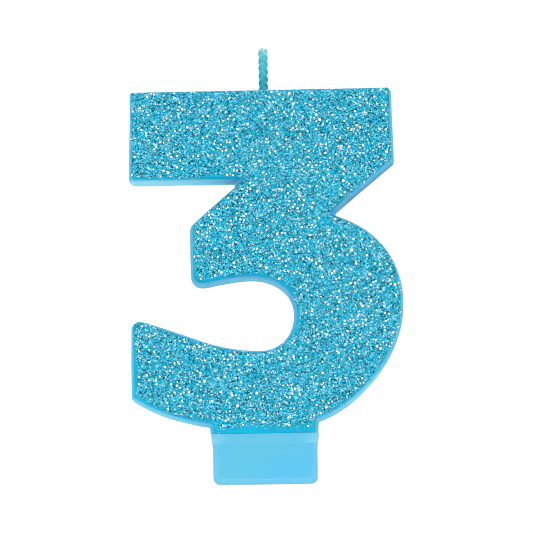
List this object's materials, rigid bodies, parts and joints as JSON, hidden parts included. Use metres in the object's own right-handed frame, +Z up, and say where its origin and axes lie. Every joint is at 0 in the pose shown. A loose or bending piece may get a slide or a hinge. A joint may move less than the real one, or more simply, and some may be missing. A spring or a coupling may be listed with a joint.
{
  "type": "number birthday candle",
  "caption": "Moulded wax candle shaped as the numeral three, with a glittered blue front, a plaited cotton wick at the top and a clear push-on plastic holder round its base tab.",
  "frame": {"origin": "middle of the candle's box, on the plane that the holder stands on", "axes": "+Z up towards the wick, +X to the right as the glittered front is looked at, -Y out of the glittered front"},
  "size_m": [0.0519, 0.0094, 0.0826],
  "materials": {
    "clear_plastic": "clear moulded plastic, gloss",
    "wax": "translucent aqua paraffin wax, satin",
    "glitter": "cyan lacquer filled with silver and blue glitter flakes",
    "wick": "wax-dipped plaited cotton, dyed teal"
  },
  "bodies": {
    "holder": {"holder": "clear_plastic"},
    "candle": {"numeral_body": "wax", "glitter_coat": "glitter", "wick_yarn_1": "wick", "wick_yarn_2": "wick", "wick_yarn_3": "wick"}
  },
  "joints": [
    {"name": "candle_lift", "type": "slide", "parent": "holder", "child": "candle", "axis": [0, 0, 1], "range_m": [0, 0.012]}
  ]
}
